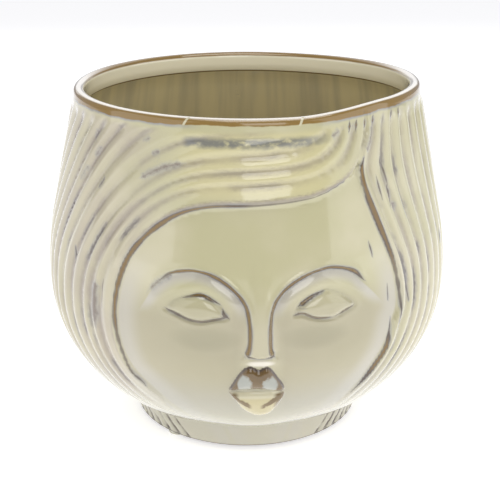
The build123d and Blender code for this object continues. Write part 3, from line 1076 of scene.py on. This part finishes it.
@dataclass
class FootPads:
    """The stick-on pads under the foot ring: low discs with rounded edges."""

    nodes: tuple[str, ...] = ("front_left_foot_pad", "right_foot_pad", "rear_foot_pad")
    sides: int = 48
    edge: float = 0.5
    edge_segments: int = 4
    flat_above: float = 0.99
    insets: tuple[float, ...] = (0.15, 0.2, 0.25)
    smooth_angle: float = 50.0

    def build(self) -> list[bpy.types.Object]:
        """One pad, shaped from a cylinder and copied to each place.

        Returns:
            The pads in the order of the nodes.
        """
        low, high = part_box(self.nodes[0])
        radius, height = (high.x - low.x) / 2, high.z - low.z
        deselect_all()
        bpy.ops.mesh.primitive_cylinder_add(
            vertices=self.sides,
            radius=radius,
            depth=height,
            location=(0.0, 0.0, height / 2),
            end_fill_type="NGON",
        )
        pad = bpy.context.object
        bpy.ops.object.transform_apply(location=True, rotation=False, scale=False)
        bpy.ops.object.mode_set(mode="EDIT")
        bpy.ops.mesh.select_all(action="SELECT")
        bpy.ops.mesh.bevel(offset=self.edge * MM, segments=self.edge_segments, affect="EDGES")
        bpy.ops.mesh.select_all(action="DESELECT")
        bpy.ops.object.mode_set(mode="OBJECT")
        for face in pad.data.polygons:
            face.select = abs(face.normal.z) > self.flat_above
        bpy.ops.object.mode_set(mode="EDIT")
        for share in self.insets:
            bpy.ops.mesh.inset(thickness=radius * share, depth=0.0)
        bpy.ops.object.mode_set(mode="OBJECT")
        bpy.ops.object.shade_smooth_by_angle(angle=math.radians(self.smooth_angle))
        pads = []
        for node in self.nodes:
            low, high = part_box(node)
            copy = pad.copy()
            copy.data = pad.data.copy()
            copy.name = copy.data.name = f"{node}_dome"
            bpy.context.scene.collection.objects.link(copy)
            place = np.array([(low.x + high.x) / 2, (low.y + high.y) / 2, low.z])
            move_points(copy, points_of(pad) + place)
            pads.append(copy)
        bpy.data.objects.remove(pad)
        return pads

    def dress(self, pads: list[bpy.types.Object], finish: "ClearPad") -> None:
        """Gives the pads their finish and their places in the frame.

        Args:
            pads: The pads in the order of the nodes.
            finish: Their plastic.
        """
        material = finish.material()
        for node, pad in zip(self.nodes, pads):
            pad.data.materials.clear()
            pad.data.materials.append(material)
            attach(pad, "root")
            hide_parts(node)


class Shade:
    """A shader socket that takes part in Python arithmetic."""

    def __init__(self, maker: "NodeMaker", socket: bpy.types.NodeSocket) -> None:
        """Wraps an output socket of the maker's tree."""
        self.maker, self.socket = maker, socket

    def math(self, operation: str, *others: Any, clamp: bool = False) -> "Shade":
        """The result of a Math node on this value and others."""
        inputs = dict(enumerate((self, *others)))
        return self.maker.node("ShaderNodeMath", {"operation": operation, "use_clamp": clamp}, inputs)

    def __add__(self, other: Any) -> "Shade":
        """Sum."""
        return self.math("ADD", other)

    __radd__ = __add__

    def __sub__(self, other: Any) -> "Shade":
        """Difference."""
        return self.math("SUBTRACT", other)

    def __rsub__(self, other: Any) -> "Shade":
        """Difference from a number."""
        return self.math("MULTIPLY_ADD", -1.0, other)

    def __mul__(self, other: Any) -> "Shade":
        """Product."""
        return self.math("MULTIPLY", other)

    __rmul__ = __mul__

    def __abs__(self) -> "Shade":
        """Size without sign."""
        return self.math("ABSOLUTE")

    def fraction(self) -> "Shade":
        """The part past the whole number."""
        return self.math("FRACT")

    def least(self, other: Any) -> "Shade":
        """The smaller of two values."""
        return self.math("MINIMUM", other)

    def most(self, other: Any) -> "Shade":
        """The larger of two values."""
        return self.math("MAXIMUM", other)

    def step(self, low: float, high: float) -> "Shade":
        """A smooth step from 0 at low to 1 at high, which may be below low.

        Args:
            low: Value at which the step begins.
            high: Value at which the step is complete.

        Returns:
            The step, between 0 and 1.
        """
        first, last = (0.0, 1.0) if low < high else (1.0, 0.0)
        inputs = {"Value": self, "From Min": min(low, high), "From Max": max(low, high)}
        inputs |= {"To Min": first, "To Max": last}
        return self.maker.node("ShaderNodeMapRange", {"interpolation_type": "SMOOTHSTEP"}, inputs)


class NodeMaker:
    """Makes a material's nodes."""

    def __init__(self, name: str) -> None:
        """Starts a material with an empty tree.

        Args:
            name: The material's name.
        """
        self.material = bpy.data.materials.new(name)
        self.material.use_nodes = True
        self.tree = self.material.node_tree
        self.tree.nodes.clear()

    def node(self, kind: str, settings: dict[str, Any], inputs: dict[Any, Any], output: Any = 0) -> Shade:
        """Adds a node.

        Args:
            kind: The node's type.
            settings: Values of the node's own options, set first.
            inputs: Values or links for its sockets, by name or number.
            output: The socket to return.

        Returns:
            The wanted output, ready for arithmetic.
        """
        node = self.tree.nodes.new(kind)
        for name, value in settings.items():
            setattr(node, name, value)
        for name, value in inputs.items():
            if isinstance(value, Shade):
                self.tree.links.new(value.socket, node.inputs[name])
            else:
                node.inputs[name].default_value = value
        return Shade(self, node.outputs[output])

    def attribute(self, name: str) -> Shade:
        """A value that the mesh carries."""
        return self.node("ShaderNodeAttribute", {"attribute_name": name}, {}, "Fac")

    def place(self) -> Shade:
        """The place on the piece, in metres."""
        return self.node("ShaderNodeTexCoord", {}, {}, "Object")

    def vector(self, x: Any, y: Any, z: Any) -> Shade:
        """A vector from three values."""
        return self.node("ShaderNodeCombineXYZ", {}, {"X": x, "Y": y, "Z": z})

    def noise(self, where: Shade, scale: float, detail: float = 2.0, rough: float = 0.5) -> Shade:
        """Smooth noise between about 0 and 1."""
        inputs = {"Vector": where, "Scale": scale, "Detail": detail, "Roughness": rough}
        return self.node("ShaderNodeTexNoise", {}, inputs, "Fac")

    def mix(self, share: Any, first: Any, second: Any) -> Shade:
        """A blend of two colours."""
        return self.node("ShaderNodeMix", {"data_type": "RGBA"}, {0: share, 6: first, 7: second}, 2)

    def bump(self, height: Shade, distance: float, strength: float) -> Shade:
        """A normal from a height between 0 and 1."""
        inputs = {"Height": height, "Distance": distance, "Strength": strength}
        return self.node("ShaderNodeBump", {}, inputs, "Normal")

    def surface(self, inputs: dict[str, Any]) -> bpy.types.Material:
        """Closes the material with its Principled shader.

        Args:
            inputs: Values or links for the shader's sockets.

        Returns:
            The finished material.
        """
        shader = self.node("ShaderNodeBsdfPrincipled", {}, inputs, "BSDF")
        output = self.tree.nodes.new("ShaderNodeOutputMaterial")
        self.tree.links.new(shader.socket, output.inputs["Surface"])
        return self.material


@dataclass(frozen=True)
class ReactiveGlaze:
    """A glossy cream glaze that breaks to brown on edges and to grey in the grooves.

    Each mask is a product of steps: between two heights or distances in mm, two azimuths in degrees,
    or two values of a noise.
    """

    cream: Colour = srgb(190, 185, 146)
    ivory: Colour = srgb(204, 197, 166)
    beige: Colour = srgb(174, 162, 144)
    shaded: Colour = srgb(168, 160, 132)
    under_eye_shade: Colour = srgb(146, 141, 112)
    brown: Colour = srgb(122, 93, 36)
    gold: Colour = srgb(138, 109, 50)
    # Painted highlight colour, for the front of the lip's crest and the spot under the nose.
    crest: Colour = srgb(246, 240, 228)
    bronze: Colour = srgb(104, 79, 34)
    dark: Colour = srgb(78, 64, 52)
    mauve: Colour = srgb(140, 127, 117)
    halo: Colour = srgb(146, 146, 148)
    umber: Colour = srgb(108, 90, 74)
    slate: Colour = srgb(104, 106, 106)
    mist: Colour = srgb(196, 192, 184)
    # Painted shade colour for the band low on the head.
    chin: Colour = srgb(172, 170, 160)
    # Painted highlight colour for the front of the fringe.
    fringe_highlight: Colour = srgb(216, 205, 150)
    pool: Colour = srgb(172, 176, 168)
    honey: Colour = srgb(196, 184, 136)
    bisque: Colour = srgb(194, 190, 177)
    # Cream of the mouth band, painted brighter to stand in for its reflection.
    mouth: Colour = srgb(250, 243, 214)
    lining: Colour = srgb(212, 199, 154)
    lining_dark: Colour = srgb(184, 174, 142)
    roughness: float = 0.13
    coat: float = 1.0
    coat_roughness: float = 0.04
    ripple_scale: float = 60.0
    ripple_height: float = 0.0004
    ripple_strength: float = 0.25
    lip_pools: tuple[tuple[float, float, float], ...] = ((-4.1, 0.52, 0.2), (2.5, 0.46, 0.25))
    lip_pool_level: float = 55.8
    # Azimuths of the painted highlight slashes across the rim's band.
    rim_highlight_slashes: tuple[float, ...] = (13.4, -20.4)

    def material(self) -> bpy.types.Material:
        """The glaze as a material.

        Returns:
            The finished material.
        """
        make = NodeMaker("reactive_glaze")
        where = make.place()
        colour = make.mix(make.noise(where, 22.0, 3.0).step(0.35, 0.7), self.cream, self.ivory)
        level, turned, gap = (make.attribute(name) for name in ("level", "aside", "hairline"))
        # Painted shade over the face between the chin and the eyes, half as strong on the nose.
        cheek_shade = level.step(102.0, 82.0) * level.step(24.0, 42.0) * gap.step(2.0, -4.0)
        colour = make.mix(cheek_shade * (turned.step(3.0, 7.0) * 0.4 + 0.4), colour, self.shaded)
        veil = gap.step(-0.8, -2.6) * gap.step(-15.0, -5.0) * level.step(116.0, 92.0)
        colour = make.mix(veil * 0.5, colour, self.mist)
        # Painted shade: a darker grey band low on the head, between 16 and 60 mm up, all round.
        colour = make.mix(level.step(60.0, 38.0) * level.step(16.0, 24.0) * 0.6, colour, self.chin)
        # Painted shade: soft darker patches under both eyes.
        across, up = (turned - 14.5) * 0.11, (level - 76.0) * 0.16
        colour = make.mix((across * across + up * up).step(1.4, 0.0) * 0.45, colour, self.under_eye_shade)
        colour = make.mix(level.step(17.0, 12.0) * 0.75, colour, self.bisque)
        colour = self.hair(make, colour)
        colour = self.neck(make, where, colour)
        colour = self.face(make, colour)
        colour = self.lips(make, where, colour)
        colour = self.lines(make, where, colour)
        colour = self.rim(make, where, colour)
        ripple = make.noise(where, self.ripple_scale)
        return make.surface(
            {
                "Base Color": colour,
                "Roughness": self.roughness,
                "Coat Weight": self.coat,
                "Coat Roughness": self.coat_roughness,
                "Normal": make.bump(ripple, self.ripple_height, self.ripple_strength),
            }
        )

    def hair(self, make: NodeMaker, colour: Shade) -> Shade:
        """The grey and brown that gather in the grooves of the hair, and a painted highlight on the fringe.

        Args:
            make: The material's maker.
            colour: The colour so far.

        Returns:
            The colour with these parts laid over it.
        """
        part = make.attribute("strand").fraction()
        width = make.attribute("strand_width")
        groove = part.least(1.0 - part) * width
        run = make.attribute("strand_run")
        level = make.attribute("level")
        number = make.attribute("strand").math("ROUND")
        hair = make.attribute("hairline").step(0.6, 1.6)
        hair = hair.most(level.step(148.0, 153.0)) * level.step(163.5, 160.5) * level.step(24.0, 54.0)
        streak = make.noise(make.vector(number * 7.3, run * 0.035, 0.0), 1.0, 3.0)
        feather = make.noise(make.vector(part * width * 1.2, run * 0.4, number * 3.1), 1.0, 3.0)
        turned = make.attribute("aside")
        aside = turned.step(22.0, 42.0)
        azimuth = make.attribute("azimuth")
        pale = 1.0 - azimuth.step(20.0, 40.0) * 0.85
        # Painted highlight: a lighter straw tone on the front of the fringe, where the front light catches
        # the strands.
        fringe = hair * turned.step(30.0, 14.0) * level.step(132.0, 140.0)
        colour = make.mix(fringe * 0.45, colour, self.fringe_highlight)
        colour = make.mix(hair * aside * (streak.step(0.35, 0.65) * 0.4 + 0.25) * pale, colour, self.beige)
        side = turned.step(34.0, 58.0) * 0.16 + 0.08
        shade = (groove + feather * 1.6 - 0.8).step(2.6, 0.0) * (streak.step(0.32, 0.6) * 0.5 + side) * hair
        colour = make.mix(shade * 0.9, colour, self.mauve)
        high = level.step(126.0, 134.0) * turned.step(44.0, 30.0)
        ends = azimuth.step(-23.0, -20.0) * azimuth.step(24.0, 12.0) * turned.step(60.0, 50.0)
        smear = make.noise(make.vector(azimuth * 0.3, level * 0.3, 4.0), 1.0, 3.0)
        slate = abs(level + smear * 3.0 - 159.6).step(3.0, 0.4) * ends * smear.step(0.22, 0.5)
        colour = make.mix(slate * 0.85, colour, self.slate)
        dash = make.noise(make.vector(number * 5.7 + 3.0, run * 0.05, 1.7), 1.0, 2.0).step(0.52, 0.7)
        dash = dash * hair * (1.0 - high * 0.85)
        colour = make.mix((groove + feather * 2.4 - 1.2).step(2.2, 0.3) * dash * 0.6, colour, self.halo)
        colour = make.mix((groove + feather * 1.6 - 0.8).step(1.2, 0.3) * dash * 0.85, colour, self.dark)
        gap = make.attribute("hairline")
        brim = gap.step(0.1, 0.7) * (gap + feather * 2.0 - 1.0).step(3.0, 0.8) * level.step(112.0, 124.0)
        return make.mix(brim * azimuth.step(29.0, 24.0) * turned.step(60.0, 50.0) * 0.7, colour, self.mauve)

    def neck(self, make: NodeMaker, where: Shade, colour: Shade) -> Shade:
        """Dark glaze in the slanting grooves of the neck, and a dark band along the bottom edge of the foot.

        Args:
            make: The material's maker.
            where: The place on the piece.
            colour: The colour so far.

        Returns:
            The colour with these parts laid over it.
        """
        number = make.attribute("neck_strand")
        part = number.fraction()
        groove = part.least(1.0 - part)
        level = make.attribute("level")
        mask = groove.step(0.24, 0.08) * number.step(-0.3, 0.1)
        mask = mask * level.step(20.0, 13.0) * level.step(1.5, 2.5)
        colour = make.mix(mask * make.noise(where, 120.0).step(0.3, 0.55), colour, self.dark)
        # A dark band along the bottom edge of the foot.
        return make.mix(level.step(3.2, 2.4), colour, self.dark)

    def face(self, make: NodeMaker, colour: Shade) -> Shade:
        """Pale mist under the brows, and a painted highlight under the nose.

        Args:
            make: The material's maker.
            colour: The colour so far.

        Returns:
            The colour with these parts laid over it.
        """
        socket = make.attribute("socket")
        inside = make.attribute("hairline").step(-0.5, -2.0)
        level = make.attribute("level")
        mist = socket.step(0.4, 1.4) * socket.step(7.0, 2.0) * level.step(84.0, 92.0)
        colour = make.mix(mist * inside * 0.7, colour, self.mist)
        # Painted highlight: a pale spot under the nose, in the crest colour.
        across, up = make.attribute("aside") * 0.26, (level - 65.4) * 0.55
        return make.mix((across * across + up * up).step(1.2, 0.2) * 0.7, colour, self.crest)

    def lips(self, make: NodeMaker, where: Shade, colour: Shade) -> Shade:
        """Bronze borders and streaks on the lips, with pale pools between them, and a painted highlight along
        the top of the lower lip.

        Args:
            make: The material's maker.
            where: The place on the piece.
            colour: The colour so far.

        Returns:
            The colour with these parts laid over it.
        """
        level, azimuth = make.attribute("level"), make.attribute("azimuth")
        ragged = make.noise(where, 420.0, 2.0) * 2.4 - 1.2
        turned = make.attribute("aside")
        upper = make.attribute("upper_lip")
        border = upper.step(-0.5, 0.0) * level.step(51.0, 53.5).most(turned.step(4.0, 6.0))
        colour = make.mix(border, colour, self.dark)
        colour = make.mix(upper.step(0.1, 0.9), colour, self.bronze)
        for middle, width, height in self.lip_pools:
            across, up = (azimuth - middle) * width, (level - self.lip_pool_level) * height
            pool = (across * across + up * up + ragged * 0.6).step(1.3, 0.5) * upper.step(0.3, 1.4)
            colour = make.mix(pool * turned.step(60.0, 50.0) * 0.85, colour, self.pool)
        lower = make.attribute("lower_lip")
        colour = make.mix(lower.step(0.0, 1.2) * 0.8, colour, self.honey)
        # Painted highlight: an ivory strip along the top of the lower lip.
        colour = make.mix(lower.step(0.0, 0.4) * level.step(47.8, 49.2), colour, self.ivory)
        spread = abs(azimuth + 1.0)
        vee = abs(level + ragged - spread * 0.9 - 43.2)
        streak = vee.step(1.5, 0.7) * spread.step(0.8, 2.2) * lower.step(0.3, 0.9)
        flank = spread.step(4.2, 5.8) * (level + ragged * 1.5).step(41.0, 44.5) * level.step(50.4, 49.4)
        flank = flank * lower.step(-0.3, 0.2)
        return make.mix(streak.most(flank) * 0.9, colour, self.bronze)

    def lines(self, make: NodeMaker, where: Shade, colour: Shade) -> Shade:
        """Brown lines with dark edges, where the glaze breaks over a drawn edge, and softer smears.

        Args:
            make: The material's maker.
            where: The place on the piece.
            colour: The colour so far.

        Returns:
            The colour with these parts laid over it.
        """
        wander = make.noise(where, 300.0, 2.0) * 0.5 - 0.25
        swell = make.noise(where, 90.0, 1.0) * 0.7 + 0.5
        half = make.attribute("line_half")
        depth = half * swell - abs(make.attribute("line_side")) + wander * 0.6
        depth = depth.least(make.attribute("line_depth") + 0.6)
        smear = make.attribute("smear_half") - abs(make.attribute("smear_side"))
        smear = smear.least(make.attribute("smear_depth") + 0.8)
        smear = smear + make.noise(where, 380.0, 4.0, 0.7) * 3.2 - 1.6
        colour = make.mix(smear.step(-1.5, 1.1) * 0.55, colour, self.halo)
        colour = make.mix(smear.step(-0.2, 1.8) * 0.8, colour, self.umber)
        patch = make.noise(where, 55.0, 2.0).step(0.38, 0.62)
        colour = make.mix(depth.step(-1.15, -0.1) * (patch * 0.5 + 0.12), colour, self.halo)
        colour = make.mix(depth.step(-0.4, 0.2) * (patch * 0.25 + 0.75), colour, self.dark)
        return make.mix(depth.step(0.1, 0.6) * half.step(0.4, 0.8), colour, self.brown)

    def rim(self, make: NodeMaker, where: Shade, colour: Shade) -> Shade:
        """Brown on the lip, cream in the mouth, and an olive lining with dark runs, with painted light: a
        highlight along the front of the crest, highlight slashes across the front of the band, a mouth band
        painted brighter as a reflection, and a shadow line under the lip.

        Args:
            make: The material's maker.
            where: The place on the piece.
            colour: The colour so far.

        Returns:
            The colour with these parts laid over it.
        """
        past = make.attribute("past_lip")
        inner = past.step(-1.0, -1.4)
        azimuth = make.attribute("azimuth")
        runs = make.noise(make.vector(azimuth * 0.16, make.attribute("level") * 0.01, 0.0), 1.0, 3.0)
        lining = make.mix(runs.step(0.35, 0.75), self.lining, self.lining_dark)
        # Painted shadow: a thin bronze line on the undercut under the lip.
        lining = make.mix(past.step(-12.6, -11.6), lining, self.bronze)
        # Cream of the mouth band, painted near white as a reflection.
        lining = make.mix(past.step(-11.4, -10.6), lining, self.mouth)
        colour = make.mix(inner, colour, lining)
        ragged = make.noise(where, 160.0, 2.0) * 2.0 - 1.0
        edge = past + ragged * 0.7
        band = past.step(-2.0, -1.4) * edge.step(6.4, 4.8)
        turned = make.attribute("aside")
        colour = make.mix(band * edge.step(3.2, 4.4) * turned.step(14.0, 30.0), colour, self.halo)
        inside = past.step(-2.0, -1.4).most(past.step(-3.6, -2.8) * turned.step(80.0, 105.0))
        colour = make.mix(inside * (edge - turned.step(14.0, 34.0) * 0.8).step(4.5, 3.9), colour, self.gold)
        # Painted highlight: a near-white line along the crest of the lip, on the front only.
        crest = past.step(-2.4, -1.8) * past.step(1.8, 1.0) * turned.step(125.0, 95.0)
        colour = make.mix(crest, colour, self.crest)
        # Painted highlight: two pale slashes of light across the front of the gold band.
        for middle in self.rim_highlight_slashes:
            highlight_slash = abs(azimuth + past * 0.35 - middle).step(0.5, 0.25) * turned.step(50.0, 40.0)
            colour = make.mix(highlight_slash * past.step(0.4, 0.8) * past.step(5.0, 4.2), colour, self.ivory)
        return colour


@dataclass(frozen=True)
class ClearPad:
    """A clear, slightly yellowed soft plastic."""

    tint: Colour = srgb(214, 212, 196)
    shadow: Colour = srgb(176, 172, 150)
    cloud_scale: float = 400.0
    roughness: float = 0.25
    clearness: float = 0.15
    ior: float = 1.45

    def material(self) -> bpy.types.Material:
        """The plastic as a material.

        Returns:
            The finished material.
        """
        make = NodeMaker("clear_foot_pad")
        cloud = make.noise(make.place(), self.cloud_scale)
        return make.surface(
            {
                "Base Color": make.mix(cloud.step(0.35, 0.7), self.tint, self.shadow),
                "Roughness": self.roughness,
                "Transmission Weight": self.clearness,
                "IOR": self.ior,
            }
        )


@dataclass(frozen=True)
class SoftBox:
    """A soft box, with its middle's place and its width and height in metres, and its power in watts."""

    name: str
    place: tuple[float, float, float]
    size: tuple[float, float]
    watts: float

    def build(self, aim: Vector) -> None:
        """Puts up the light.

        Args:
            aim: The place that it is turned to.
        """
        turn = (aim - Vector(self.place)).to_track_quat("-Z", "Y").to_euler()
        bpy.ops.object.light_add(type="AREA", location=self.place, rotation=turn)
        lamp = bpy.context.object
        lamp.name = lamp.data.name = self.name
        lamp.data.shape = "RECTANGLE"
        lamp.data.size, lamp.data.size_y = self.size
        lamp.data.energy = self.watts


@dataclass
class Studio:
    """The white table, the soft boxes and the camera."""

    camera_distance: float = 0.500
    camera_height: float = 0.2672
    camera_azimuth: float = -3.6
    camera_pitch: float = 20.34
    lens: float = 75.95
    sensor: float = 36.0
    shift: float = 0.007
    floor_size: float = 9.0
    table_white: Colour = (0.9, 0.9, 0.9, 1.0)
    table_roughness: float = 0.7
    table_glow: Colour = (1.0, 1.0, 1.0, 1.0)
    table_glow_strength: float = 0.57
    room_white: Colour = (0.95, 0.95, 1.0, 1.0)
    room_strength: float = 0.4
    aim_height: float = 0.09
    boxes: tuple[SoftBox, ...] = (
        SoftBox("left_soft_box", (-0.82, -0.31, 0.42), (0.95, 0.9), 2.0),
        SoftBox("right_soft_box", (0.84, -0.34, 0.42), (0.95, 0.9), 2.4),
        SoftBox("front_soft_box", (0.11, -0.85, 0.56), (0.42, 0.5), 1.35),
        SoftBox("top_soft_box", (0.05, -0.1, 1.0), (0.7, 0.5), 3.0),
        SoftBox("back_soft_box", (0.0, 0.9, 0.7), (1.4, 0.9), 2.5),
    )

    def camera(self) -> bpy.types.Object:
        """The camera, at the photograph's place.

        Returns:
            The camera.
        """
        turn = math.radians(self.camera_azimuth)
        place = Vector((math.sin(turn), -math.cos(turn), 0.0)) * self.camera_distance
        bpy.ops.object.camera_add(
            location=(place.x, place.y, self.camera_height),
            rotation=(math.radians(90.0 - self.camera_pitch), 0.0, turn),
        )
        camera = bpy.context.object
        camera.name = "camera"
        camera.data.sensor_fit = "HORIZONTAL"
        camera.data.sensor_width = self.sensor
        camera.data.lens = self.lens
        camera.data.shift_x = self.shift
        bpy.context.scene.camera = camera
        return camera

    def floor(self) -> bpy.types.Object:
        """The pale table under the pot.

        Returns:
            The table.
        """
        deselect_all()
        bpy.ops.mesh.primitive_plane_add(size=self.floor_size, location=(0.0, 0.0, 0.0))
        floor = bpy.context.object
        floor.name = "table"
        make = NodeMaker("white_table")
        floor.data.materials.append(
            make.surface(
                {
                    "Base Color": self.table_white,
                    "Roughness": self.table_roughness,
                    "Emission Color": self.table_glow,
                    "Emission Strength": self.table_glow_strength,
                }
            )
        )
        return floor

    def lights(self) -> None:
        """Soft boxes at the left, right, front and back of the pot and above it, in a dim room."""
        for box in self.boxes:
            box.build(Vector((0.0, 0.0, self.aim_height)))
        world = bpy.data.worlds.new("dim_room")
        bpy.context.scene.world = world
        world.use_nodes = True
        background = world.node_tree.nodes["Background"]
        background.inputs["Color"].default_value = self.room_white
        background.inputs["Strength"].default_value = self.room_strength
        bpy.context.scene.view_settings.view_transform = "Standard"


def main() -> None:
    """Builds the pot, its pads and the studio, and reports each piece."""
    logging.basicConfig(level=logging.INFO, format="%(name)s: %(message)s")
    studio = Studio()
    studio.camera()
    pot = Pot()
    glazed = pot.build()
    pot.dress(glazed, ReactiveGlaze())
    log.info("%s with %d faces", glazed.name, len(glazed.data.polygons))
    pads = FootPads()
    domes = pads.build()
    pads.dress(domes, ClearPad())
    for dome in domes:
        log.info("%s with %d faces", dome.name, len(dome.data.polygons))
    studio.floor()
    studio.lights()


if __name__ == "__main__":
    main()
